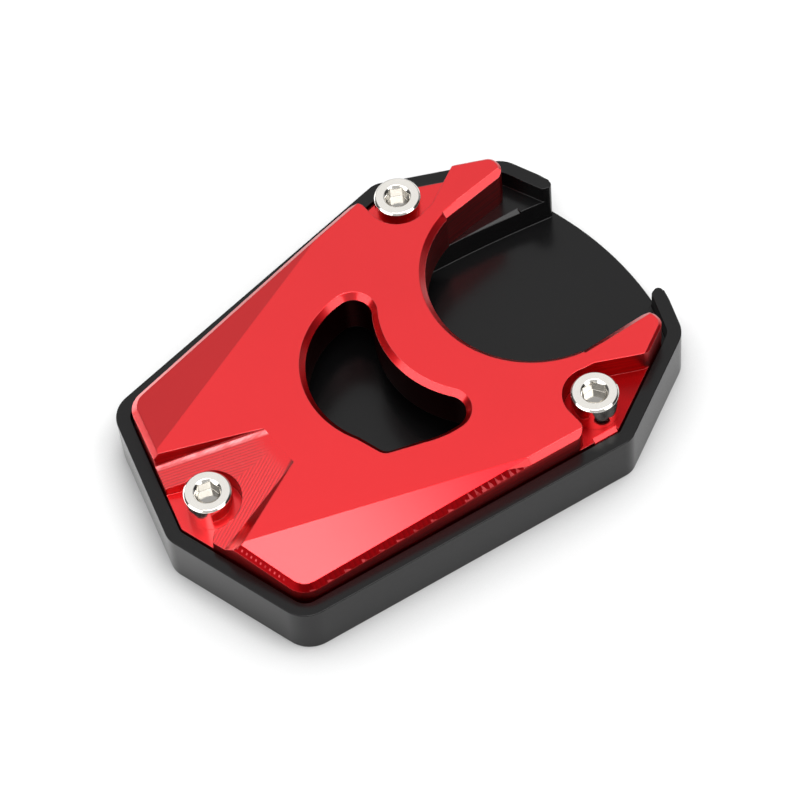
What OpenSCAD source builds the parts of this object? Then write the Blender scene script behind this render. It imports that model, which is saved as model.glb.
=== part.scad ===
// Side stand foot plate: a black tray that clamps a stand's foot under a red cover, held by three cap screws.
// Origin: middle of the bounding box at the underside. +X is the right side, +Y the open front, +Z up.
// Distances "from the rear" start at the rearmost point of the tray.

/* [Tray] */
// Length of the tray from its rear point to the front edge of the foot plate
tray_length = 103.4; // [101:0.2:110]
// Width across the widest corners
tray_width = 74.8; // [72:0.2:84]
// Width across the rear corners
rear_width = 57.6; // [52:0.2:66]
// Width across the nose corners
nose_width = 51.8; // [49:0.2:58]
// Distance from the rear to the rear corners
rear_corner_at = 8.1; // [5:0.1:12]
// Distance from the rear to the widest corners
wide_corner_at = 75.7; // [72:0.1:80]
// Distance from the rear to the nose corners
nose_corner_at = 97.8; // [95:0.1:100]
// Angle of the nose edges against the width
nose_angle = 21.3; // [16:0.1:26]
// Radius of the foot plate's front edge
front_radius = 63.7; // [58:0.1:90]
// Height of the rim
rim_height = 11.1; // [9.5:0.1:14]
// Thickness of the rim
rim_thickness = 2.7; // [1.8:0.1:3.6]
// Thickness of the floor
floor_thickness = 1.5; // [1:0.1:2.5]
// Height of the ledge that carries the cover
ledge_height = 7.1; // [6:0.1:8.5]
// Radius of the rear point
rear_point_round = 4.8; // [4:0.1:8]
// Radius of the rear corners
rear_corner_round = 5.7; // [4:0.1:8]
// Radius of the widest corners
wide_corner_round = 3.9; // [3.7:0.1:6]
// Radius of the nose corners
nose_corner_round = 5.5; // [4:0.1:8]

/* [Foot pocket] */
// Widest half of the foot pocket, also the radius of its rear end
foot_half_width = 21.9; // [19:0.1:23]
// Radius of the foot pocket's long sides
foot_side_radius = 232; // [190:1:400]
// Distance from the rear to the centre of the pocket's round end
foot_centre_at = 44.8; // [42:0.1:48]
// Width of the bevel on the pocket's edge at the front
pocket_bevel = 1.1; // [0.6:0.1:1.4]
// Radius of the rim ends' outer corners
rim_end_round = 0.9; // [0.5:0.1:1.2]
// Radius of the rim ends' inner corners
rim_end_inner_round = 2; // [1:0.1:2.4]

/* [Cover] */
// Thickness of the cover
cover_thickness = 9.6; // [8:0.1:12]
// Gap between the cover and the rim
cover_gap = 0.25; // [0.15:0.05:0.5]
// Bevel along the cover's upper edges
cover_bevel = 1.1; // [0.6:0.05:1.5]
// Radius of the cover's rear corners
cover_corner_round = 4.6; // [2:0.1:5]
// Radius of the round cut-out for the stand's leg
cutout_radius = 19.8; // [18:0.1:20.1]
// Distance from the rear to the cut-out's centre
cutout_at = 83.9; // [82:0.1:85]
// Width between the horns where they leave the cut-out
horn_gap_root = 39; // [38.4:0.1:41]
// Width between the horns at their tips
horn_gap_tip = 41.2; // [38.6:0.1:42]
// Distance from the rear to where the horns leave the cut-out
horn_root_at = 79.1; // [78:0.1:80]
// Distance from the rear to the horn tips
horn_tip_at = 94.2; // [91:0.1:95]
// Radius of the corners of the horn tips
horn_tip_round = 2.2; // [1.3:0.1:2.4]
// Bevel along the horns' outer edges and tips
horn_bevel = 0.5; // [0.2:0.05:0.8]

/* [Crescent window] */
// Radius of the window's outer arc
window_radius = 17.2; // [16:0.1:18]
// Distance from the rear to the centre of the outer arc
window_at = 52.8; // [51:0.1:54]
// Radius of the window's inward arc
window_inner_radius = 20.7; // [19:0.1:22]
// Distance from the rear to the centre of the inward arc
window_inner_at = 72.5; // [71.5:0.1:74]
// Radius of the window's two ends
window_end_radius = 3.5; // [2.8:0.1:4.2]
// How far the window's lower right corner stands out of the outer arc before it is rounded
window_heel = 1.9; // [1:0.1:2.4]

/* [Facets and scoop] */
// Slope of the two side facets in degrees
facet_slope = 10; // [6:0.5:12]
// Distance of the right ridge's rear end from the middle
ridge_rear_right = 11.9; // [10.5:0.1:14]
// Distance of the left ridge's rear end from the middle
ridge_rear_left = 13.4; // [12:0.1:15]
// Distance of both ridges' front ends from the line through the widest corner
ridge_front_inset = 7; // [6:0.1:9]
// Distance from the rear to the ridges' front ends
ridge_front_at = 55.8; // [50:0.1:60]
// Distance from the rear to the scoop's front end
scoop_front_at = 25; // [22:0.1:27]
// Half the width of the scoop at its front end
scoop_front_half = 4.6; // [3:0.1:6]
// Half the width of the scoop at the rear edge
scoop_rear_half = 12.1; // [9:0.1:12.4]
// Fall of the scoop's floor towards the rear in degrees
scoop_fall = 9; // [6:0.5:10]
// Sideways tilt of the scoop's floor in degrees
scoop_tilt = 0.6; // [0:0.1:3]
// Lean of the scoop's left wall from upright in degrees
scoop_left_lean = 10; // [5:1:20]
// Lean of the scoop's right wall from upright in degrees
scoop_right_lean = 48; // [35:1:55]

/* [Screws] */
// Distance of the front screws from the line through the widest corner
front_screw_inset = 9; // [8.7:0.1:10]
// Distance from the rear to the front screws
front_screw_at = 74.7; // [73.5:0.1:76]
// Distance from the rear to the rear screw
rear_screw_at = 9.4; // [9.4:0.1:11.5]
// Depth of the screw lands below the cover's top
land_depth = 5.15; // [4:0.05:6]
// Clearance around the front screws' heads
front_land_clearance = 1.45; // [0.8:0.05:1.6]
// Clearance around the rear screw's head
rear_land_clearance = 1.55; // [0.8:0.05:1.8]
// Radius of the cover's upright corners beside the front lands
land_corner_round = 2.2; // [1:0.1:2.6]
// Bevel along the outer edge of the front lands
land_bevel = 0.9; // [0.4:0.1:1.2]
// Distance from the rear to where that bevel starts
land_bevel_at = 70.2; // [69.6:0.1:72]
// Diameter of the screw heads
head_diameter = 8.7; // [8:0.1:9]
// Height of the screw heads
head_height = 6; // [4.5:0.1:6.5]
// Bevel around the top of the heads
head_bevel = 0.35; // [0.2:0.05:0.6]
// Width of the hexagon socket across its flats
hex_width = 4; // [3:0.1:4.5]
// Depth of the hexagon socket
hex_depth = 2.8; // [2:0.1:3.5]
// Diameter of the screw shanks
shank_diameter = 5; // [4:0.1:5.4]
// Length of the screw shanks
shank_length = 8; // [6.5:0.1:8.5]
// Clearance around the shanks in the cover's holes
hole_clearance = 0.25; // [0.15:0.05:0.5]
// Clearance around and under the shanks in the tray's bores
bore_clearance = 0.1; // [0.05:0.05:0.2]

/* [Hidden] */

$fn = 96;
// Facets of the long arcs
FINE = 360;
// Reach of a cut that runs out of the part
PAST = 6;
// Size of the blocks that cut along a plane
BLOCK = 160;
// Bevel of 45 degrees on the hexagon socket's mouth, beyond its corners
MOUTH = 0.25;
// Smallest corner that is still rounded
TINY = 0.05;
// Thickness of the sheets that a slanted shape is stretched between
THIN = 0.001;
// Extra radius with which a rounding crosses the straight edges that it joins, and the same for curved edges
CROSS = 0.004;
CROSS_CURVED = 0.02;
// Directions in degrees, from the outer arc's centre, of the window's heel and of where it starts and ends
HEEL = -46.5;
HEEL_START = -16;
HEEL_END = -84;
HEEL_ROUND = 2.2;
// Slope in degrees of the bevel on the pocket's edge
POCKET_TILT = 25;
// Radius of the cover's widest corners
WIDE_ROUND = 1.5;
// Flats of the bevel around the cover's rear corners
CORNER_FLATS = 6;
// Bends of the upright wall in front of the right front screw, from that screw's middle
HORN_WALL = [[-5.1, 4.2], [-1.2, 11.5], [0, 14.2]];
// Directions in degrees in which the rear land's left and right sides leave its round part
REAR_LAND_TURN = [189, -28];
// How far those sides stand out of the round part, and how far behind the screw they run straight
REAR_LAND_OUT = [1.4, 1.1];
REAR_LAND_BEHIND = [4.2, 4.6];

rear = -tray_length / 2;
cover_top = ledge_height + cover_thickness;
land = cover_top - land_depth;
cover_inset = rim_thickness + cover_gap;

// Where the edges beside the rear point would meet without its rounding
rear_angle = atan2(rear_corner_at, rear_width / 2);
rear_apex = rear - rear_point_round * (1 / cos(rear_angle) - 1);
nose_apex = rear + nose_corner_at + nose_width / 2 * tan(nose_angle);

tray_points = [
    [0, rear_apex],
    [rear_width / 2, rear + rear_corner_at],
    [tray_width / 2, rear + wide_corner_at],
    [nose_width / 2, rear + nose_corner_at],
    [0, nose_apex],
    [-nose_width / 2, rear + nose_corner_at],
    [-tray_width / 2, rear + wide_corner_at],
    [-rear_width / 2, rear + rear_corner_at],
];
tray_rounds = [
    rear_point_round, rear_corner_round, wide_corner_round, nose_corner_round,
    1, nose_corner_round, wide_corner_round, rear_corner_round,
];
rim_rounds = [for (r = tray_rounds) max(r - rim_thickness, 1)];
cover_corners = inset(tray_points, cover_inset);

front_screw_side = tray_width / 2 - front_screw_inset;
front_screws = [[-front_screw_side, rear + front_screw_at], [front_screw_side, rear + front_screw_at]];
rear_screw = [0, rear + rear_screw_at];
screws = concat([rear_screw], front_screws);
front_land_radius = head_diameter / 2 + front_land_clearance;
rear_land_radius = head_diameter / 2 + rear_land_clearance;

// Corners of the right horn, seen from above
horn_root = [horn_gap_root / 2, rear + horn_root_at];
horn_inner = [horn_gap_tip / 2, rear + horn_tip_at];
horn_outer = crossing(cover_corners[2], cover_corners[3] - cover_corners[2], [0, horn_inner.y], [1, 0]);
tip_round = max(min(horn_tip_round, (horn_outer.x - horn_inner.x) / 1.6), horn_bevel + 0.1);

// The two ridges, each with its facet on the right of the way from its first point to its second
ridge_front = tray_width / 2 - ridge_front_inset;
right_ridge = [
    [ridge_rear_right, rear + rear_corner_at],
    [ridge_front, rear + ridge_front_at],
];
left_ridge = [
    [-ridge_front, rear + ridge_front_at],
    [-ridge_rear_left, rear + rear_corner_at],
];

function unit(v) = v / norm(v);
function away(a, b) = [unit(b - a).y, -unit(b - a).x];
function turn(a, b, c) = acos(unit(b - a) * unit(c - b));

// Centre of a circle of radius r inside the convex corner b, touching both of its edges
function corner_centre(a, b, c, r) = b + unit(unit(a - b) + unit(c - b)) * r / cos(turn(a, b, c) / 2);
function before(points, i) = points[(i + len(points) - 1) % len(points)];
function after(points, i) = points[(i + 1) % len(points)];
function inset(points, d) = [
    for (i = [0 : len(points) - 1]) corner_centre(before(points, i), points[i], after(points, i), d)
];

// Where the line from a along d crosses the line from b along e
function crossing(a, d, b, e) = a + d * ((b.x - a.x) * e.y - (b.y - a.y) * e.x) / (d.x * e.y - d.y * e.x);

// Half width of the foot pocket at a place along the length
function foot_edge(y) = foot_half_width - foot_side_radius
    + sqrt(pow(foot_side_radius, 2) - pow(y - rear - foot_centre_at, 2));

// Where the pocket's long side meets an arc across the front
function rim_end_y(front, radius) =
    let (near = foot_edge(front))
    let (y = front - radius + sqrt(pow(radius, 2) - pow(near, 2)))
    front - radius + sqrt(pow(radius, 2) - pow(foot_edge(y), 2));

// Height of a facet above the plane point p, from a ridge given by two points
function facet_height(ridge, p) = cover_top - tan(facet_slope) * max(0, away(ridge[0], ridge[1]) * (p - ridge[0]));

// Polygon whose convex corners are rounded by true arcs, and whose corners with radius 0 stay sharp
module rounded(points, rounds) {
    polygon([
        for (i = [0 : len(points) - 1])
            let (a = before(points, i), b = points[i], c = after(points, i), r = rounds[i])
            each r < TINY ? [b] : [
                b + unit(a - b) * r * tan(turn(a, b, c) / 2),
                b + unit(c - b) * r * tan(turn(a, b, c) / 2),
            ]
    ]);
    for (i = [0 : len(points) - 1]) {
        if (rounds[i] >= TINY) {
            translate(corner_centre(before(points, i), points[i], after(points, i), rounds[i]))
                circle(r = rounds[i] + CROSS);
        }
    }
}

// What a rounding takes off the corner b
module corner_waste(a, b, c, r) {
    centre = corner_centre(a, b, c, r);
    foot_a = b + unit(a - b) * ((centre - b) * unit(a - b));
    foot_c = b + unit(c - b) * ((centre - b) * unit(c - b));
    difference() {
        polygon([centre, foot_c + unit(foot_c - centre), 2 * b - centre, foot_a + unit(foot_a - centre)]);
        translate(centre)
            circle(r = r + CROSS_CURVED);
    }
}

// Everything on the side of a plane that its normal points to
module beyond(point, normal) {
    translate(point)
        rotate([0, acos(normal.z / norm(normal)), atan2(normal.y, normal.x)])
            translate([-BLOCK / 2, -BLOCK / 2, 0])
                cube([BLOCK, BLOCK, BLOCK / 2]);
}

module tray_outline() {
    intersection() {
        rounded(tray_points, tray_rounds);
        translate([0, tray_length / 2 - front_radius])
            circle(r = front_radius, $fn = FINE);
    }
}

// Plan of the pocket for the stand's foot: a round rear end between two long arcs, open at the front
module foot_plan() {
    centre_y = rear + foot_centre_at;
    intersection() {
        translate([foot_half_width - foot_side_radius, centre_y])
            circle(r = foot_side_radius, $fn = FINE * 2);
        translate([foot_side_radius - foot_half_width, centre_y])
            circle(r = foot_side_radius, $fn = FINE * 2);
        translate([-foot_half_width, centre_y])
            square([2 * foot_half_width, tray_length]);
    }
    translate([0, centre_y])
        circle(r = foot_half_width);
}

// What the roundings take off the right end of the rim, seen from above
module rim_end_waste(corner_y, along_y, round) {
    corner = [foot_edge(corner_y), corner_y];
    reach = 3 * round;
    corner_waste(
        [foot_edge(corner_y - reach * along_y), corner_y - reach * along_y], corner,
        corner + reach * [cos(nose_angle), -sin(nose_angle)], round
    );
}

// Bevel that widens along the pocket's right edge, from beside the cut-out to the horn's tip
module pocket_edge_bevel() {
    start = [foot_edge(rear + horn_root_at), rear + horn_root_at];
    end = [foot_edge(rear + horn_tip_at) + pocket_bevel, rear + horn_tip_at];
    inward = -away(start, end);
    intersection() {
        beyond(
            [start.x, start.y, ledge_height],
            [inward.x * sin(POCKET_TILT), inward.y * sin(POCKET_TILT), cos(POCKET_TILT)]
        );
        translate([0, 0, ledge_height - pocket_bevel])
            linear_extrude(2 * pocket_bevel)
                polygon([start - [pocket_bevel, 0], start, end, end - [2 * pocket_bevel, 0]]);
    }
}

module base_tray() {
    color([0.12, 0.12, 0.13])
        difference() {
            linear_extrude(rim_height)
                tray_outline();
            translate([0, 0, ledge_height])
                linear_extrude(rim_height)
                    rounded(inset(tray_points, rim_thickness), rim_rounds);
            translate([0, 0, floor_thickness])
                linear_extrude(rim_height)
                    foot_plan();
            for (side = [0, 1]) {
                mirror([side, 0, 0]) {
                    pocket_edge_bevel();
                    translate([0, 0, floor_thickness])
                        linear_extrude(rim_height)
                            rim_end_waste(rim_end_y(tray_length / 2, front_radius), 1, rim_end_round);
                    translate([0, 0, ledge_height])
                        linear_extrude(rim_height)
                            rim_end_waste(
                                rim_end_y(tray_length / 2, front_radius) - rim_thickness / cos(nose_angle),
                                -1, rim_end_inner_round
                            );
                }
            }
            for (p = screws) {
                translate([p.x, p.y, land - shank_length - bore_clearance])
                    cylinder(d = shank_diameter + 2 * bore_clearance, h = rim_height);
            }
        }
}

module cover_outline() {
    right = [cover_corners[1], cover_corners[2], horn_outer, horn_inner, horn_root];
    left = [for (i = [len(right) - 1 : -1 : 0]) [-right[i].x, right[i].y]];
    right_rounds = [cover_corner_round, WIDE_ROUND, tip_round, tip_round, 0];
    left_rounds = [for (i = [len(right) - 1 : -1 : 0]) right_rounds[i]];
    rounded(
        concat([cover_corners[0]], right, left),
        concat([max(rear_point_round - cover_inset, 1)], right_rounds, left_rounds)
    );
}

// Round cut-out for the stand's leg, with a bevel that goes on along the horns
module leg_cutout() {
    lean = (horn_inner.x - horn_root.x) / (horn_inner.y - horn_root.y);
    end = horn_inner + PAST * [lean, 1];
    translate([0, rear + cutout_at, 0])
        cylinder(r = cutout_radius, h = cover_top + PAST, $fn = FINE);
    translate([0, rear + cutout_at, cover_top - cover_bevel])
        cylinder(r1 = cutout_radius, r2 = cutout_radius + 2 * cover_bevel, h = 2 * cover_bevel, $fn = FINE);
    hull() {
        for (step = [0, 2]) {
            grow = step * cover_bevel * sqrt(1 + lean * lean);
            translate([0, 0, cover_top + (step - 1) * cover_bevel])
                linear_extrude(THIN)
                    polygon([
                        [-horn_root.x - grow, horn_root.y], [horn_root.x + grow, horn_root.y],
                        [end.x + grow, end.y], [-end.x - grow, end.y],
                    ]);
        }
    }
}

// Crescent of the window between two heights, growing outwards by grow0 and grow1 there
module crescent(z0, z1, grow0, grow1) {
    outer = [0, rear + window_at];
    inner = [0, rear + window_inner_at];
    reach_outer = window_radius - window_end_radius;
    reach_inner = window_inner_radius + window_end_radius;
    span = inner.y - outer.y;
    end_y = outer.y + (pow(reach_outer, 2) - pow(reach_inner, 2) + pow(span, 2)) / (2 * span);
    end = [sqrt(pow(reach_outer, 2) - pow(end_y - outer.y, 2)), end_y];
    side = end + unit(end - outer) * (window_end_radius + PAST);
    top = end + unit(inner - end) * (window_end_radius + 2 * cover_bevel);
    translate([0, 0, z0]) {
        intersection() {
            difference() {
                translate(outer)
                    cylinder(r1 = window_radius + grow0, r2 = window_radius + grow1, h = z1 - z0, $fn = FINE);
                translate([inner.x, inner.y, -TINY])
                    cylinder(
                        r1 = window_inner_radius - grow0, r2 = window_inner_radius - grow1,
                        h = z1 - z0 + 2 * TINY, $fn = FINE
                    );
            }
            linear_extrude(z1 - z0)
                polygon([
                    end, top, [-top.x, top.y], [-end.x, end.y], [-side.x, side.y],
                    [-side.x, outer.y - 2 * window_radius], [side.x, outer.y - 2 * window_radius], side,
                ]);
        }
        for (x = [-end.x, end.x]) {
            translate([x, end.y])
                cylinder(
                    r1 = window_end_radius + grow0 + CROSS, r2 = window_end_radius + grow1 + CROSS, h = z1 - z0
                );
        }
    }
}

// Plan of the window's fuller lower right corner, grown outwards from the outer arc's centre
module heel_plan(grow) {
    reach = window_radius + grow;
    inside = reach - CROSS_CURVED;
    rounded([
        reach / 3 * [cos(HEEL), sin(HEEL)], inside * [cos(HEEL_END), sin(HEEL_END)],
        (reach + window_heel) * [cos(HEEL), sin(HEEL)], inside * [cos(HEEL_START), sin(HEEL_START)],
    ], [0, 0, HEEL_ROUND, 0]);
}

module window() {
    crescent(-PAST, cover_top, 0, 0);
    crescent(cover_top - cover_bevel, cover_top + cover_bevel, 0, 2 * cover_bevel);
    translate([0, rear + window_at, 0]) {
        linear_extrude(cover_top)
            heel_plan(0, $fn = 32);
        hull() {
            for (step = [0, 2]) {
                translate([0, 0, cover_top + (step - 1) * cover_bevel])
                    linear_extrude(THIN)
                        heel_plan(step * cover_bevel, $fn = 32);
            }
        }
    }
}

// Plan of the front right land: round behind the screw, and open along the cover's edge
module front_land_plan() {
    screw = front_screws[1];
    radius = front_land_radius;
    back = crossing([0, screw.y - radius], [1, 0], cover_corners[1], cover_corners[2] - cover_corners[1]);
    front = crossing(
        screw + HORN_WALL[1], HORN_WALL[2] - HORN_WALL[1], cover_corners[2], horn_outer - cover_corners[2]
    );
    translate(screw)
        circle(r = radius + CROSS);
    polygon([
        screw, screw - [0, radius], back + [tray_width, 0], front + [tray_width, 0],
        front + unit(HORN_WALL[2] - HORN_WALL[1]), screw + HORN_WALL[1], screw + HORN_WALL[0], screw - [radius, 0],
    ]);
    corner_waste(back - [PAST, 0], back, cover_corners[1], land_corner_round);
    corner_waste(screw + HORN_WALL[1], front, horn_outer, land_corner_round);
}

module rear_land_plan() {
    radius = rear_land_radius;
    inside = radius - CROSS_CURVED;
    past = rear_screw_at + PAST;
    translate(rear_screw)
        circle(r = radius);
    translate(rear_screw)
        polygon([
            [0, 0], inside * [cos(REAR_LAND_TURN[0]), sin(REAR_LAND_TURN[0])],
            [-radius - REAR_LAND_OUT[0], -REAR_LAND_BEHIND[0]], [-radius - REAR_LAND_OUT[0], -past],
            [radius + REAR_LAND_OUT[1], -past], [radius + REAR_LAND_OUT[1], -REAR_LAND_BEHIND[1]],
            inside * [cos(REAR_LAND_TURN[1]), sin(REAR_LAND_TURN[1])],
        ]);
}

// Bevel along the outer edge of the front right land, up to the widest corner
module land_edge_bevel() {
    along = unit(cover_corners[2] - cover_corners[1]);
    out = away(cover_corners[1], cover_corners[2]);
    start = cover_corners[1] + along * (rear + land_bevel_at - cover_corners[1].y) / along.y;
    end = cover_corners[2] - along * TINY;
    intersection() {
        beyond([start.x, start.y, land - land_bevel], [out.x, out.y, 1]);
        translate([0, 0, land - land_bevel])
            linear_extrude(2 * land_bevel)
                polygon([start - out * PAST, start + out * PAST, end + out * PAST, end - out * PAST]);
    }
}

// Slanted cut that bevels the edge from a to b where it follows a facet
module edge_bevel(a, b, ridge) {
    along = unit(b - a);
    upper = a - away(a, b) * cover_bevel;
    fall = (facet_height(ridge, b - away(a, b) * cover_bevel) - facet_height(ridge, upper)) / norm(b - a);
    beyond(
        [upper.x, upper.y, facet_height(ridge, upper)],
        cross([along.x, along.y, fall], [-away(a, b).x, -away(a, b).y, 1])
    );
}

module facets() {
    for (ridge = [right_ridge, left_ridge]) {
        out = away(ridge[0], ridge[1]);
        beyond(
            [ridge[0].x, ridge[0].y, cover_top],
            [out.x * sin(facet_slope), out.y * sin(facet_slope), cos(facet_slope)]
        );
    }
}

// The same around a rounded corner, in small flats
module corner_bevel(a, b, c, ridge) {
    centre = corner_centre(a, b, c, cover_corner_round);
    for (i = [1 : CORNER_FLATS - 1]) {
        out = unit(away(a, b) * (CORNER_FLATS - i) + away(b, c) * i);
        point = centre + cover_corner_round * out;
        edge_bevel(point, point + [-out.y, out.x], ridge);
    }
}

// Cut that bevels the edge from a to b where the cover's top is flat
module flat_bevel(a, b, width) {
    out = away(a, b);
    beyond([a.x, a.y, cover_top - width], [out.x, out.y, 1]);
}

// What a bevelled rounding takes off the corner b at the cover's flat top
module tip_bevel(a, b, c) {
    centre = corner_centre(a, b, c, tip_round);
    foot_a = b + unit(a - b) * ((centre - b) * unit(a - b));
    foot_c = b + unit(c - b) * ((centre - b) * unit(c - b));
    translate([0, 0, cover_top - horn_bevel])
        difference() {
            linear_extrude(horn_bevel + TINY)
                polygon([centre, foot_c + unit(foot_c - centre), 2 * b - centre, foot_a + unit(foot_a - centre)]);
            translate([centre.x, centre.y, 0])
                cylinder(
                    r1 = tip_round + CROSS, r2 = tip_round + CROSS - horn_bevel - TINY, h = horn_bevel + TINY
                );
        }
}

module outer_bevels() {
    rear_left = [-cover_corners[1].x, cover_corners[1].y];
    wide_left = [-cover_corners[2].x, cover_corners[2].y];
    corner_bevel(cover_corners[0], cover_corners[1], cover_corners[2], right_ridge);
    corner_bevel(wide_left, rear_left, cover_corners[0], left_ridge);
    edge_bevel(cover_corners[1], cover_corners[2] + (cover_corners[1] - cover_corners[2]) * 0.6, right_ridge);
    edge_bevel(wide_left + (rear_left - wide_left) * 0.6, rear_left, left_ridge);
    edge_bevel(cover_corners[0] + (cover_corners[1] - cover_corners[0]) * 0.6, cover_corners[1], right_ridge);
    edge_bevel(rear_left, rear_left + (cover_corners[0] - rear_left) * 0.4, left_ridge);
    for (side = [0, 1]) {
        mirror([side, 0, 0]) {
            flat_bevel(cover_corners[1], cover_corners[2], cover_bevel);
            flat_bevel(cover_corners[2], horn_outer, horn_bevel);
            flat_bevel(horn_outer, horn_inner, horn_bevel);
            tip_bevel(cover_corners[2], horn_outer, horn_inner);
            tip_bevel(horn_outer, horn_inner, horn_root);
        }
    }
}

// Hollow around the rear screw, with a floor that falls to the rear between two leaning walls
module scoop() {
    front = rear + scoop_front_at;
    back = rear + rear_corner_at;
    left_in = -away([-scoop_front_half, front], [-scoop_rear_half, back]);
    right_in = -away([scoop_rear_half, back], [scoop_front_half, front]);
    intersection() {
        beyond([-scoop_front_half, front, cover_top], [-sin(scoop_tilt), -sin(scoop_fall), cos(scoop_fall)]);
        beyond(
            [-scoop_front_half, front, cover_top],
            [left_in.x * cos(scoop_left_lean), left_in.y * cos(scoop_left_lean), sin(scoop_left_lean)]
        );
        beyond(
            [scoop_front_half, front, cover_top],
            [right_in.x * cos(scoop_right_lean), right_in.y * cos(scoop_right_lean), sin(scoop_right_lean)]
        );
    }
}

module cover_plate() {
    color([0.9, 0.12, 0.13])
        difference() {
            translate([0, 0, ledge_height])
                linear_extrude(cover_thickness)
                    cover_outline();
            leg_cutout();
            window();
            translate([0, 0, land])
                linear_extrude(land_depth + PAST) {
                    rear_land_plan();
                    front_land_plan();
                    mirror([1, 0])
                        front_land_plan();
                }
            for (side = [0, 1]) {
                mirror([side, 0, 0])
                    land_edge_bevel();
            }
            facets();
            outer_bevels();
            scoop();
            for (p = screws) {
                translate([p.x, p.y, 0])
                    cylinder(d = shank_diameter + 2 * hole_clearance, h = cover_top);
            }
        }
}

// Socket-head cap screw whose head stands on z = 0
module cap_screw() {
    mouth_radius = hex_width / 2 / cos(30) + MOUTH;
    color([0.8, 0.79, 0.77])
        difference() {
            union() {
                translate([0, 0, -shank_length])
                    cylinder(d = shank_diameter, h = shank_length + head_height / 2);
                cylinder(d = head_diameter, h = head_height - head_bevel);
                translate([0, 0, head_height - head_bevel])
                    cylinder(d1 = head_diameter, d2 = head_diameter - 2 * head_bevel, h = head_bevel);
            }
            translate([0, 0, head_height - hex_depth])
                cylinder(d = hex_width / cos(30), h = hex_depth + 1, $fn = 6);
            translate([0, 0, head_height - mouth_radius])
                cylinder(r1 = 0, r2 = 2 * mouth_radius, h = 2 * mouth_radius);
        }
}

module screw_rear() {
    translate([rear_screw.x, rear_screw.y, land])
        rotate(12)
            cap_screw();
}

module screw_left() {
    translate([front_screws[0].x, front_screws[0].y, land])
        cap_screw();
}

module screw_right() {
    translate([front_screws[1].x, front_screws[1].y, land])
        rotate(30)
            cap_screw();
}

base_tray();
cover_plate();
screw_rear();
screw_left();
screw_right();
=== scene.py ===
import math
from collections import namedtuple

import bmesh
import bpy
from mathutils import Matrix, Vector


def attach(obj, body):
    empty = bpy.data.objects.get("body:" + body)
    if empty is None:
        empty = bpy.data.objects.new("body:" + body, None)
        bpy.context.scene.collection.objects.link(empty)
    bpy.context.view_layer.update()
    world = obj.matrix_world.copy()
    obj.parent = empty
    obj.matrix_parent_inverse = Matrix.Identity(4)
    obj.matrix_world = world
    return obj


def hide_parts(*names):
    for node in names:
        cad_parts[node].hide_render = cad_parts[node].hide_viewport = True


MM = 0.001
UP = (0, 0, 1)

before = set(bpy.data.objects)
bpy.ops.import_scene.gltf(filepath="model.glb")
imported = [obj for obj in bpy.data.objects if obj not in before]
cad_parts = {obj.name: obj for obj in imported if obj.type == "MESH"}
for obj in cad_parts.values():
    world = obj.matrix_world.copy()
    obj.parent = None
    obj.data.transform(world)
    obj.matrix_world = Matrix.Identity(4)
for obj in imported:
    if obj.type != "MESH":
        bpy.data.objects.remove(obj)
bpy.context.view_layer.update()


# Lines and directions on the cover, in millimetres, that its finishes and its faces share
# The right side and the rear right edge: a point on each in plan, and the way out from it
SIDE_POINT = Vector((34.35, 23.47))
SIDE_OUT = Vector((0.992, -0.126))
EDGE_POINT = Vector((26.12, -41.30))
EDGE_OUT = Vector((0.2765, -0.961))
# The scoop: the front end of each wall's foot, and the way in from it
SCOOP_HALF_FRONT = 4.6
SCOOP_FRONT_Y = -26.7
SCOOP_IN = Vector((0.914, -0.4056))
# Which way the faces of the scoop and of the right facet are turned
SCOOP_FLOOR = Vector((-0.0105, -0.156, 0.988)).normalized()
SCOOP_LEFT_FLANK = Vector((0.900, -0.399, 0.174))
SCOOP_RIGHT_SLOPE = Vector((-0.612, -0.271, 0.743))
RIGHT_FACET = Vector((0.162, -0.063, 0.985)).normalized()


# Camera, at the photograph's viewing angle
CAMERA_PLACE = Vector((0.2907253, -0.1891333, 0.5403781))
CAMERA_BACK = Vector((0.4552432, -0.2963907, 0.8395869))
CAMERA_UP = Vector((-0.6390089, 0.5478838, 0.5398990))
SENSOR_WIDTH = 36
FOCAL_LENGTH = 156.9311


def make_camera():
    data = bpy.data.cameras.new("camera")
    data.sensor_width = SENSOR_WIDTH
    data.lens = FOCAL_LENGTH
    data.clip_start = 0.05
    data.clip_end = 20
    camera = bpy.data.objects.new("camera", data)
    bpy.context.scene.collection.objects.link(camera)
    right = CAMERA_UP.cross(CAMERA_BACK)
    turn = Matrix((right, CAMERA_UP, CAMERA_BACK)).transposed().to_4x4()
    camera.matrix_world = Matrix.Translation(CAMERA_PLACE) @ turn
    bpy.context.scene.camera = camera


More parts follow.
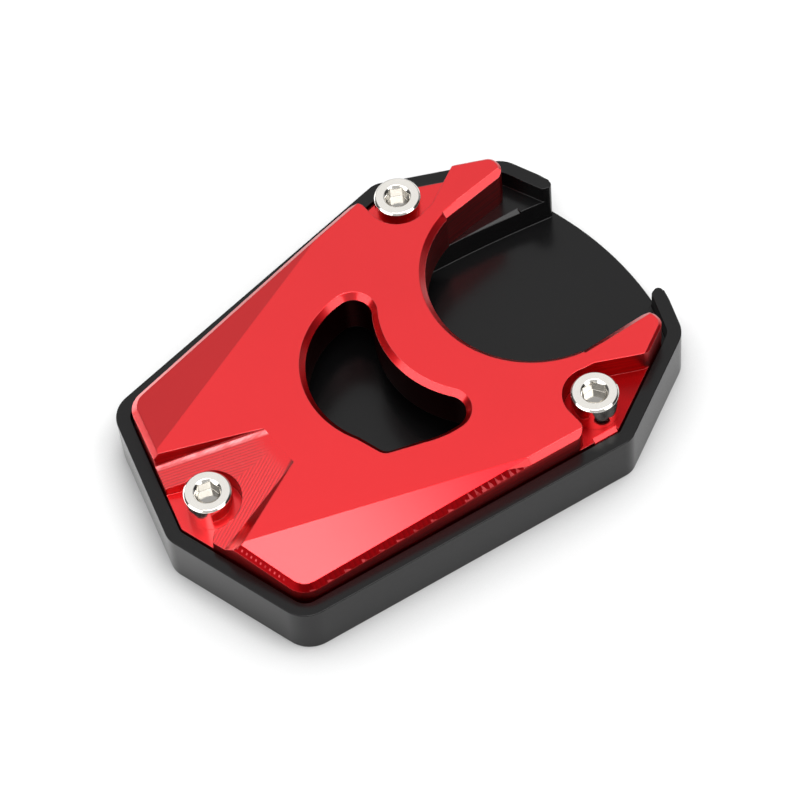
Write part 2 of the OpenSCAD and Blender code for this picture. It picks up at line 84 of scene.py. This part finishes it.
# Shader nodes
class Nodes:
    """Adds shader nodes to a tree and joins them."""

    def __init__(self, tree):
        self.tree = tree
        tree.nodes.clear()

    def add(self, kind, **settings):
        node = self.tree.nodes.new(kind)
        for name, value in settings.items():
            setattr(node, name, value)
        return node

    def feed(self, into, value):
        """Join an output to this input, or set it to a number, a vector or a colour."""
        if isinstance(value, bpy.types.NodeSocket):
            self.tree.links.new(value, into)
        elif into.type == "RGBA":
            into.default_value = (*value, 1)
        else:
            into.default_value = value

    def compute(self, operation, *values):
        node = self.add("ShaderNodeMath", operation=operation)
        for into, value in zip(node.inputs, values):
            self.feed(into, value)
        return node.outputs[0]

    def plus(self, a, b):
        return self.compute("ADD", a, b)

    def minus(self, a, b):
        return self.compute("SUBTRACT", a, b)

    def times(self, a, b):
        return self.compute("MULTIPLY", a, b)

    def over(self, a, b):
        return self.compute("DIVIDE", a, b)

    def most(self, a, b):
        return self.compute("MAXIMUM", a, b)

    def least(self, a, b):
        return self.compute("MINIMUM", a, b)

    def beat(self, value, pitch):
        """Runs from 0 to 1 over each pitch."""
        return self.compute("FRACT", self.over(value, pitch))

    def ripple(self, value, pitch):
        """Rounded ridges, one to a pitch, with sharp valleys between them."""
        return self.compute("ABSOLUTE", self.compute("SINE", self.times(value, math.pi / pitch)))

    def dot(self, a, b):
        node = self.add("ShaderNodeVectorMath", operation="DOT_PRODUCT")
        self.feed(node.inputs[0], a)
        self.feed(node.inputs[1], b)
        return node.outputs["Value"]

    def stretch(self, vector, scale):
        node = self.add("ShaderNodeVectorMath", operation="MULTIPLY")
        self.feed(node.inputs[0], vector)
        self.feed(node.inputs[1], scale)
        return node.outputs[0]

    def ramp(self, value, low, high, to_low=0.0, to_high=1.0):
        """Goes softly from to_low to to_high while the value goes from low to high."""
        node = self.add("ShaderNodeMapRange", interpolation_type="SMOOTHSTEP")
        self.feed(node.inputs["Value"], value)
        self.feed(node.inputs["From Min"], low)
        self.feed(node.inputs["From Max"], high)
        self.feed(node.inputs["To Min"], to_low)
        self.feed(node.inputs["To Max"], to_high)
        return node.outputs["Result"]

    def noise(self, vector, scale, detail=2.0, roughness=0.5):
        node = self.add("ShaderNodeTexNoise")
        self.feed(node.inputs["Vector"], vector)
        self.feed(node.inputs["Scale"], scale)
        self.feed(node.inputs["Detail"], detail)
        self.feed(node.inputs["Roughness"], roughness)
        return node.outputs["Fac"]

    def mix(self, factor, a, b, blend_type="MIX"):
        node = self.add("ShaderNodeMix", data_type="RGBA", blend_type=blend_type)
        self.feed(node.inputs[0], factor)
        self.feed(node.inputs[6], a)
        self.feed(node.inputs[7], b)
        return node.outputs[2]

    def bump(self, height, distance, strength, normal=None):
        node = self.add("ShaderNodeBump")
        self.feed(node.inputs["Height"], height)
        self.feed(node.inputs["Distance"], distance)
        self.feed(node.inputs["Strength"], strength)
        if normal is not None:
            self.feed(node.inputs["Normal"], normal)
        return node.outputs["Normal"]

    def rounded(self, radius):
        """The normal as if every edge had this radius."""
        node = self.add("ShaderNodeBevel", samples=6)
        self.feed(node.inputs["Radius"], radius)
        return node.outputs["Normal"]

    def paint_edge_highlight(self, colour, round_off, highlight):
        """Paints the colour lighter along the edges as an edge highlight, where the rounded normal leaves the
        true one.
        """
        true_normal = self.add("ShaderNodeNewGeometry").outputs["Normal"]
        highlight_share = self.ramp(self.dot(round_off, true_normal), 0.998, 0.93, 0.0, 0.22)
        return self.mix(highlight_share, colour, highlight)


class Finish(Nodes):
    """A new material: its nodes, its shader and the shaded point's place."""

    def __init__(self, name):
        self.material = bpy.data.materials.new(name)
        self.material.use_nodes = True
        super().__init__(self.material.node_tree)
        out = self.add("ShaderNodeOutputMaterial")
        self.shader = self.add("ShaderNodeBsdfPrincipled")
        self.feed(out.inputs["Surface"], self.shader.outputs[0])
        self.place = self.add("ShaderNodeTexCoord").outputs["Object"]

    def give(self, name, value):
        self.feed(self.shader.inputs[name], value)

    def across(self, direction):
        """How far the shaded point lies along a direction, in millimetres."""
        return self.dot(self.place, Vector(direction) / MM)

    def inside(self, point, inward):
        """How far the shaded point lies inside a line in plan, in millimetres."""
        unit = Vector((*inward, 0)).normalized()
        return self.minus(self.across(unit), unit.xy.dot(point))


# World and floor
# A patch of the room: its direction, the angles where it is full and where it ends, and its level
Patch = namedtuple("Patch", "towards inner outer level")
GLOW = Patch((-0.40, 0.30, 0.86), 12, 30, 0.38)
DARK_SIDES = (
    Patch((0.62, 0.72, 0.30), 18, 30, 0.10),
    Patch((-0.74, -0.62, 0.16), 16, 26, 0.25),
)
PANELS = (
    Patch((-0.02, 0.08, 0.99), 12, 16, 5.4),
    Patch((0.30, 0.25, 0.92), 11, 16, 4.2),
    Patch((-0.03, -0.83, 0.43), 24, 29, 2.6),
    Patch((0.84, 0.26, 0.45), 13, 18, 2.6),
    Patch((0.36, -0.22, 0.90), 11, 18, 3.6),
    Patch((-0.47, 0.00, 0.88), 5, 12, 1.5),
)
# Panels whose direction rises less than this only show as reflections
LOW_PANEL = 0.5
WHITE = (1, 1, 1)


def make_world():
    """A plain room with broad light panels and two darker sides. The camera sees it as white."""
    world = bpy.data.worlds.new("studio")
    bpy.context.scene.world = world
    world.use_nodes = True
    nodes = Nodes(world.node_tree)
    direction = nodes.add("ShaderNodeTexCoord").outputs["Generated"]
    path = nodes.add("ShaderNodeLightPath")

    def reach(patch):
        """1 within the patch and 0 outside it."""
        towards = Vector(patch.towards).normalized()
        ends, full = math.cos(math.radians(patch.outer)), math.cos(math.radians(patch.inner))
        return nodes.ramp(nodes.dot(direction, towards), ends, full)

    level = nodes.ramp(nodes.dot(direction, UP), low=-0.05, high=0.5, to_low=0.16, to_high=0.50)
    level = nodes.plus(level, nodes.times(reach(GLOW), GLOW.level))
    for side in DARK_SIDES:
        level = nodes.times(level, nodes.minus(1.0, nodes.times(reach(side), 1 - side.level)))
    for panel in PANELS:
        light = nodes.times(reach(panel), panel.level)
        if panel.towards[2] < LOW_PANEL:
            light = nodes.times(light, path.outputs["Is Glossy Ray"])
        level = nodes.most(level, light)

    room = nodes.add("ShaderNodeBackground")
    nodes.feed(room.inputs["Color"], WHITE)
    nodes.feed(room.inputs["Strength"], level)
    plain = nodes.add("ShaderNodeBackground")
    nodes.feed(plain.inputs["Color"], WHITE)
    nodes.feed(plain.inputs["Strength"], 1.0)
    either = nodes.add("ShaderNodeMixShader")
    nodes.feed(either.inputs[0], path.outputs["Is Camera Ray"])
    nodes.feed(either.inputs[1], room.outputs[0])
    nodes.feed(either.inputs[2], plain.outputs[0])
    out = nodes.add("ShaderNodeOutputWorld")
    nodes.feed(out.inputs["Surface"], either.outputs[0])


def make_floor():
    """A pale floor with a painted contact shadow where the part stands on it, and a painted grey grade that
    only reflections see.
    """
    half = 3.0
    corners = [(-half, -half, 0), (half, -half, 0), (half, half, 0), (-half, half, 0)]
    mesh = bpy.data.meshes.new("floor")
    mesh.from_pydata(corners, [], [(0, 1, 2, 3)])
    floor = bpy.data.objects.new("floor", mesh)
    bpy.context.scene.collection.objects.link(floor)

    pale = bpy.data.materials.new("floor")
    pale.use_nodes = True
    nodes = Nodes(pale.node_tree)
    place = nodes.add("ShaderNodeTexCoord").outputs["Object"]
    # Painted reflection: the grey that the tray's walls reflect, graded from rear to front
    towards_front = nodes.dot(place, Vector((0.35, 0.94, 0)) / MM)
    reflected = nodes.ramp(towards_front, low=-95, high=-30, to_low=2.1, to_high=0.78)
    # Painted contact shadow: the floor's colour darkens where the part hides it
    near = nodes.add("ShaderNodeAmbientOcclusion", samples=8)
    nodes.feed(near.inputs["Distance"], 30 * MM)
    seen = nodes.ramp(near.outputs["AO"], low=0.35, high=1.0, to_low=0.72, to_high=1.03)
    glossy = nodes.add("ShaderNodeLightPath").outputs["Is Glossy Ray"]
    grey = nodes.plus(nodes.times(glossy, reflected), nodes.times(nodes.minus(1.0, glossy), seen))
    diffuse = nodes.add("ShaderNodeBsdfDiffuse")
    nodes.feed(diffuse.inputs["Color"], grey)
    out = nodes.add("ShaderNodeOutputMaterial")
    nodes.feed(out.inputs["Surface"], diffuse.outputs[0])
    mesh.materials.append(pale)


# Finishes. A noise's scale is in waves to the metre.
CLOUD = 60
GRAIN = 5200
RED_LOW, RED_HIGH = (0.76, 0.009, 0.014), (0.81, 0.011, 0.017)
HAIRLINES = (0.66, 0.74)
HAIRLINE_DEPTH = -0.002 * MM
GRAIN_DEPTH = 0.004 * MM


def scaled(colour, share):
    return tuple(part * share for part in colour)


def red_base(name, low, high, rough, coat_rough, grain=0.5, coat=1.0, radius=0.17):
    """Dyed and sealed aluminium: a red metal under a thin clear film, with rounded edges and a painted
    highlight along them.
    """
    red = Finish(name)
    fine = red.noise(red.place, GRAIN, 2, 0.6)
    round_off = red.rounded(radius * MM)
    # Painted highlight: the colour turns lighter along the rounded edges
    highlight = [0.3 + 0.7 * part for part in high]
    red.tint = red.paint_edge_highlight(red.mix(red.noise(red.place, CLOUD, 3), low, high), round_off, highlight)
    red.give("Base Color", red.tint)
    red.give("Metallic", 1.0)
    red.give("Roughness", red.ramp(fine, 0.25, 0.75, rough - 0.03, rough + 0.03))
    red.give("Coat Weight", coat)
    red.give("Coat IOR", 1.5)
    red.give("Coat Roughness", coat_rough)
    hairs = red.ramp(red.noise(red.stretch(red.place, (60, 1900, 60)), 1, 2), *HAIRLINES)
    grained = red.bump(fine, GRAIN_DEPTH, grain, round_off)
    red.normal = red.bump(hairs, HAIRLINE_DEPTH, 0.25, grained)
    red.give("Normal", red.normal)
    return red


def red_anodised():
    return red_base("red_anodised", RED_LOW, RED_HIGH, rough=0.34, coat_rough=0.16).material


def red_wall(name, share=1.0, radius=0.17):
    """The sawn and milled walls, painted darker than the faces on top as shade, with streaks along the cut.
    """
    # Painted shade: darker than the top's colour, and darker still for a share below 1
    low = scaled((0.46, 0.0022, 0.005), share)
    high = scaled((0.55, 0.003, 0.006), share)
    red = red_base(name, low, high, rough=0.36, coat_rough=0.22, grain=0.8, coat=0.25 * share, radius=radius)
    passes = red.noise(red.stretch(red.place, (70, 70, 2600)), 1, 3)
    dull = red.ramp(passes, 0.35, 0.65, 0.5, 0.0)
    red.give("Base Color", red.mix(dull, red.tint, (0.45, 0.35, 0.35), "MULTIPLY"))
    red.give("Normal", red.bump(passes, 0.012 * MM, 0.6, red.normal))
    return red.material


def red_facet():
    """The broad facet at the right, whose clear film is made thinner towards the front as a painted fade of
    its sheen.
    """
    red = red_base("red_facet", RED_LOW, RED_HIGH, rough=0.34, coat_rough=0.15)
    # Painted reflection: the sheen of the film fades towards the front
    film = red.ramp(red.across((0.1, 0.995, 0)), low=-36, high=6, to_low=1.0, to_high=0.12)
    red.give("Coat Weight", film)
    return red.material


def red_scooped():
    """The scoop's floor: rows of fine tool marks along both walls with painted shade in their valleys, a
    painted highlight beside the left wall, and soft feet under the walls.
    """
    mark_pitch = 0.58
    mark_height = 0.022
    red = red_base("red_scooped", (0.66, 0.006, 0.010), (0.74, 0.008, 0.014), rough=0.30, coat_rough=0.14)
    left = red.inside(Vector((-SCOOP_HALF_FRONT, SCOOP_FRONT_Y)), SCOOP_IN)
    right = red.inside(Vector((SCOOP_HALF_FRONT, SCOOP_FRONT_Y)), (-SCOOP_IN.x, SCOOP_IN.y))
    behind_front = red.ramp(red.across((0, 1, 0)), -27.0, -30.5)

    wander = red.times(red.noise(red.place, 700, 2), 0.16)
    wave = red.ripple(red.plus(red.least(left, right), wander), mark_pitch)
    # Painted shade in the valleys between the tool marks
    valley = red.times(red.ramp(wave, 0.15, 0.85, 0.55, 0.0), behind_front)
    marked = red.mix(valley, red.tint, (0.62, 0.5, 0.5), "MULTIPLY")
    colour = red.mix(behind_front, (0.70, 0.010, 0.015), marked)

    # A strip beside the left wall is painted lighter, in streaks, as a highlight on the hollow foot of the
    # wall
    strip = red.times(red.ramp(left, 1.75, 1.25), red.ramp(left, 0.25, 0.6))
    streaks = red.noise(red.stretch(red.place, (900, 260, 260)), 1, 2)
    fillet_highlight = red.times(strip, red.ramp(streaks, 0.3, 0.6, 0.2, 0.55))
    red.give("Base Color", red.mix(fillet_highlight, colour, (0.95, 0.36, 0.37)))
    red.give("Coat Weight", red.ramp(behind_front, 0.0, 1.0, 0.6, 1.0))

    def foot(distance, width, steepness):
        """The hollow corner at the foot of a wall."""
        into = red.most(red.minus(width, distance), 0)
        return red.times(red.times(into, into), steepness)

    marks = red.times(red.times(wave, mark_height), behind_front)
    feet = red.plus(foot(left, 1.4, 0.36), foot(right, 0.7, 0.45))
    red.give("Normal", red.bump(red.plus(marks, feet), MM, 1.0, red.normal))
    return red.material


def red_milled():
    """The rough milled edge break: painted dark as shade in the cutter's small steps, with light ticks
    painted as highlights where the cutter stepped.
    """
    dot_pitch = groove_pitch = 1.0
    # Painted shade: a dark colour for the small steps of the cutter
    red = red_base(
        "red_milled", (0.16, 0.0005, 0.0016), (0.23, 0.0008, 0.0024),
        rough=0.42, coat_rough=0.30, grain=0.8, coat=0.03,
    )
    side = red.inside(SIDE_POINT, -SIDE_OUT)
    along = red.across((-SIDE_OUT.y, SIDE_OUT.x, 0))
    edge = red.inside(EDGE_POINT, -EDGE_OUT)
    along_edge = red.across((-EDGE_OUT.y, EDGE_OUT.x, 0))
    wander = red.times(red.minus(red.noise(red.place, 420, 2), 0.5), 1.3)
    rear = red.ramp(along, -38.6, -39.4)
    front = red.minus(1.0, rear)

    def ticks(start, pitch, share, reach):
        """Ticks that taper from the outer edge, each over a share of its pitch."""
        taper = red.minus(1.0, red.over(red.beat(red.minus(along, start), pitch), share))
        top = red.times(red.plus(taper, wander), reach)
        return red.ramp(red.minus(top, side), -0.03, 0.09)

    coarse = ticks(start=-29.1, pitch=3.54, share=0.40, reach=0.5)
    dense = red.times(ticks(start=-16.0, pitch=1.4, share=0.55, reach=1.25), red.ramp(along, -4.5, -3.0))
    row = red.times(red.ramp(edge, 0.36, 0.44), red.ramp(edge, 0.76, 0.66))
    dots = red.times(red.ramp(red.beat(along_edge, dot_pitch), 0.34, 0.26), row)
    light = red.most(red.times(dots, rear), red.times(red.most(coarse, dense), front))
    patchy = red.ramp(red.noise(red.place, 900, 2), 0.3, 0.6, 0.35, 1.0)
    # Painted highlights: pink ticks over the dark band
    ticked = red.mix(red.times(light, patchy), red.tint, (0.46, 0.05, 0.055))

    # The band narrows to nothing at its front end, where the plain face takes over
    band = red.times(red.minus(8.4, along), 0.26)
    plain = red.times(front, red.ramp(red.minus(red.minus(side, 0.15), band), -0.05, 0.06))
    red.give("Base Color", red.mix(plain, ticked, (0.79, 0.010, 0.015)))
    red.give("Coat Weight", red.most(plain, 0.03))
    grooves = red.times(red.ripple(along, groove_pitch), 0.03)
    red.give("Normal", red.bump(grooves, MM, 0.7, red.normal))
    return red.material


def black_anodised():
    """Dyed black aluminium, painted a little greyer along the edges as a highlight."""
    rough = 0.22
    black = Finish("black_anodised")
    fine = black.noise(black.place, GRAIN, 2, 0.6)
    tint = black.mix(black.noise(black.place, 45, 3), (0.0028, 0.0028, 0.0031), (0.0052, 0.0050, 0.0052))
    round_off = black.rounded(0.12 * MM)
    # Painted highlight along the rounded edges
    black.give("Base Color", black.paint_edge_highlight(tint, round_off, (0.025, 0.025, 0.027)))
    black.give("IOR", 1.37)
    black.give("Roughness", black.ramp(fine, 0.25, 0.75, rough - 0.04, rough + 0.04))
    hairs = black.ramp(black.noise(black.stretch(black.place, (1500, 70, 70)), 1, 2), *HAIRLINES)
    grained = black.bump(fine, GRAIN_DEPTH, 0.5, round_off)
    black.give("Normal", black.bump(hairs, HAIRLINE_DEPTH, 0.4, grained))
    return black.material


def stainless(name, rough=0.11, share=1.0):
    """Polished steel. A share below 1 makes it darker."""
    steel = Finish(name)
    cloud = steel.noise(steel.place, 400, 3)
    fine = steel.noise(steel.place, 3000, 2, 0.6)
    steel.give("Base Color", steel.mix(
        cloud, scaled((0.90, 0.87, 0.81), share), scaled((0.96, 0.93, 0.88), share)))
    steel.give("Metallic", 1.0)
    steel.give("Roughness", steel.ramp(fine, 0.25, 0.75, rough - 0.04, rough + 0.05))
    steel.give("Normal", steel.bump(cloud, 0.01 * MM, 0.4))
    return steel.material


# Meshes
MERGE_DISTANCE = 0.002 * MM
FLAT_ANGLE = math.radians(0.35)
# Edges that turn more than this are rounded
ROUNDED_TURN = 24
# Edges that turn more than this stay sharp in the shading, and ridges between two broad faces do sooner
SHARP_TURN = 35
RIDGE_TURN = 3
BROAD_FACE = 12 * MM * MM
# Faces above this area keep a flat shading on the cover
FLAT_FACE = 12.5 * MM * MM


def copy_solid(node, name):
    """A clean copy of a CAD node's mesh: points merged, flat faces joined."""
    bm = bmesh.new()
    bm.from_mesh(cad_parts[node].data)
    bmesh.ops.remove_doubles(bm, verts=bm.verts, dist=MERGE_DISTANCE)
    bmesh.ops.dissolve_limit(
        bm, angle_limit=FLAT_ANGLE, use_dissolve_boundaries=False,
        verts=bm.verts, edges=bm.edges, delimit=set(),
    )
    mesh = bpy.data.meshes.new(name)
    bm.to_mesh(mesh)
    bm.free()
    for extra in ("custom_normal", "sharp_edge", "sharp_face"):
        if extra in mesh.attributes:
            mesh.attributes.remove(mesh.attributes[extra])
    mesh.materials.clear()
    piece = bpy.data.objects.new(name, mesh)
    bpy.context.scene.collection.objects.link(piece)
    return piece


def turn_of(edge):
    return math.degrees(edge.calc_face_angle())


def free_width(edge):
    """How wide an edge may be rounded before it runs over a short neighbour."""
    no_limit = 1.0
    straight_on = math.radians(150)
    share_of_neighbour = 0.4
    least_width = 0.015 * MM
    free = no_limit
    for point in edge.verts:
        along = edge.other_vert(point).co - point.co
        for other in point.link_edges:
            if other is edge:
                continue
            away = other.other_vert(point).co - point.co
            turn = along.angle(away, 0)
            if turn > straight_on:
                continue
            reach = away.length
            if turn < math.pi / 2:
                reach *= math.sin(turn)
            free = min(free, share_of_neighbour * reach)
    return free if free > least_width else 0


def shade(mesh):
    """Smooth shading with crisp edges and facet ridges: the narrow faces of a rounded edge stay smooth."""
    bm = bmesh.new()
    bm.from_mesh(mesh)
    for face in bm.faces:
        face.smooth = True
    for edge in bm.edges:
        if len(edge.link_faces) != 2:
            continue
        broad = min(face.calc_area() for face in edge.link_faces) > BROAD_FACE
        edge.smooth = not (turn_of(edge) > SHARP_TURN or (turn_of(edge) > RIDGE_TURN and broad))
    bm.to_mesh(mesh)
    bm.free()


def finished_mesh(piece):
    """The piece's mesh with its modifiers applied."""
    return bpy.data.meshes.new_from_object(piece.evaluated_get(bpy.context.evaluated_depsgraph_get()))


def soften(piece, width, keeps=None):
    """Round the edges of a piece's mesh, except those for which keeps(edge) is true."""
    full = 1 * MM
    bm = bmesh.new()
    bm.from_mesh(piece.data)
    weights = bm.edges.layers.float.new("bevel_weight_edge")
    chosen = [edge for edge in bm.edges if len(edge.link_faces) == 2 and turn_of(edge) > ROUNDED_TURN]
    for edge in chosen:
        if not (keeps and keeps(edge)):
            edge[weights] = min(width, free_width(edge)) / full
    bm.to_mesh(piece.data)
    bm.free()
    bevel = piece.modifiers.new("edges", "BEVEL")
    bevel.width = full
    bevel.segments = 3
    bevel.limit_method = "WEIGHT"
    bevel.use_clamp_overlap = False
    bevel.loop_slide = False
    bevel.miter_outer = "MITER_SHARP"
    piece.data = finished_mesh(piece)
    piece.modifiers.clear()
    shade(piece.data)
    normal = piece.modifiers.new("normals", "WEIGHTED_NORMAL")
    normal.mode = "FACE_AREA"
    normal.weight = 90
    normal.keep_sharp = True


def settle(piece):
    """Keep the shading of every large face exactly flat, right up to its rounded edges."""
    mesh = finished_mesh(piece)
    normals = [Vector(corner.vector) for corner in mesh.corner_normals]
    for face in mesh.polygons:
        if face.area > FLAT_FACE:
            for corner in face.loop_indices:
                normals[corner] = Vector(face.normal)
    mesh.normals_split_custom_set(normals)
    piece.data = mesh
    piece.modifiers.clear()


# Tray
def make_tray():
    tray = copy_solid("base_tray", "tray")
    tray.data.materials.append(black_anodised())
    soften(tray, 0.15 * MM)
    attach(tray, "root")
    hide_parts("base_tray")


# Cover
PLAIN, SCOOPED, MILLED, WALL, WINDOW, FACET, FLANK, LAND, SLOPE = range(9)
# Where its parts lie, in millimetres: how far out, and between which ends
WINDOW_HALF, WINDOW_REAR, WINDOW_FRONT = 17.8, -19.5, 9
SCOOP_HALF, SCOOP_WALL_FRONT, SCOOP_FLOOR_FRONT, SCOOP_LOW = 13, -28, -26, 14.3
HORNS_REAR = 34
LAND_INNER, LAND_REAR, LAND_HIGH = 20, 10, 12
MILLED_INNER, MILLED_FRONT, MILLED_REACH = 9, 4.6, 2.2


def cover_finishes():
    """The cover's materials, in the order of their numbers."""
    return (
        red_anodised(),
        red_scooped(),
        red_milled(),
        red_wall("red_wall"),
        # The window's walls: the wall finish painted nearly black as deep shade
        red_wall("red_window", share=0.22),
        red_facet(),
        red_wall("red_flank", share=1.0, radius=0.4),
        # The low land at the front right: painted dark as shade and as a reflection of the screw head's dark
        # side
        red_wall("red_land", share=0.8),
        # The scoop's right slope: the wall finish with less of its painted shade
        red_wall("red_slope", share=1.5, radius=0.7),
    )


def is_milled(at, turned):
    """Whether a face belongs to the edge breaks along the right side and the rear right edge."""
    same_way = 0.75
    slopes = 0.45 < turned.z < 0.9
    if not slopes or at.y > MILLED_FRONT or at.x < MILLED_INNER:
        return False
    flat = turned.xy.normalized()
    near_side = (at.xy - SIDE_POINT).dot(SIDE_OUT) > -MILLED_REACH
    near_edge = (at.xy - EDGE_POINT).dot(EDGE_OUT) > -MILLED_REACH
    if near_side and near_edge:
        return True
    return (near_side and flat.dot(SIDE_OUT) > same_way) or (near_edge and flat.dot(EDGE_OUT) > same_way)


def in_window(at):
    return abs(at.x) < WINDOW_HALF and WINDOW_REAR < at.y < WINDOW_FRONT


def cover_finish(at, turned):
    """The number of a face's finish, by where it lies in millimetres and how it is turned."""
    parallel = 0.9985
    nearly_parallel = 0.97
    on_scoop_wall = abs(at.x) < SCOOP_HALF and at.y < SCOOP_WALL_FRONT and at.z > SCOOP_LOW and turned.z < 0.8
    if is_milled(at, turned):
        return MILLED
    if turned.dot(SCOOP_FLOOR) > parallel and at.y < SCOOP_FLOOR_FRONT:
        return SCOOPED
    if turned.dot(RIGHT_FACET) > parallel:
        return FACET
    if on_scoop_wall and turned.dot(SCOOP_LEFT_FLANK) > nearly_parallel:
        return FLANK
    if on_scoop_wall and turned.dot(SCOOP_RIGHT_SLOPE) > nearly_parallel:
        return SLOPE
    if abs(turned.z) < 0.3:
        return WINDOW if in_window(at) else WALL
    # The low land at the front right gets the land finish, which is painted shade
    if turned.z > 0.99 and at.z < LAND_HIGH and at.x > LAND_INNER and at.y > LAND_REAR:
        return LAND
    return PLAIN


def cover_keeps(edge):
    """The window and the horns keep their own CAD bevels, which are too close together to round again."""
    middle = (edge.verts[0].co + edge.verts[1].co) / 2 / MM
    return in_window(middle) or middle.y > HORNS_REAR


def make_cover():
    cover = copy_solid("cover_plate", "cover")
    for finish in cover_finishes():
        cover.data.materials.append(finish)
    for face in cover.data.polygons:
        face.material_index = cover_finish(Vector(face.center) / MM, Vector(face.normal))
    soften(cover, 0.10 * MM, cover_keeps)
    settle(cover)
    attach(cover, "root")
    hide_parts("cover_plate")


# Screws
def mark_socket(piece):
    """Give the faces of the driver's socket the screw's second finish, painted darker as shade in the socket.
    """
    socket_reach = 1.9 * MM
    socket_top = 0.1 * MM
    socket_depth = 3.5 * MM
    points = [point.co for point in piece.data.vertices]
    middle = (Vector(map(min, zip(*points))) + Vector(map(max, zip(*points)))) / 2
    top = max(point.z for point in points)
    for face in piece.data.polygons:
        near_axis = (Vector(face.center) - middle).xy.length < socket_reach
        if near_axis and top - socket_depth < face.center.z < top - socket_top:
            face.material_index = 1


def make_screws():
    steel = stainless("stainless")
    # The socket's steel: darker as painted shade in the recess
    shaded_steel = stainless("stainless_socket", rough=0.13, share=0.42)
    for node in ("screw_rear", "screw_left", "screw_right"):
        screw = copy_solid(node, node + "_detailed")
        screw.data.materials.append(steel)
        screw.data.materials.append(shaded_steel)
        mark_socket(screw)
        soften(screw, 0.08 * MM)
        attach(screw, "root")
        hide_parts(node)


make_camera()
make_world()
make_floor()
make_tray()
make_cover()
make_screws()
bpy.context.scene.view_settings.view_transform = "Standard"
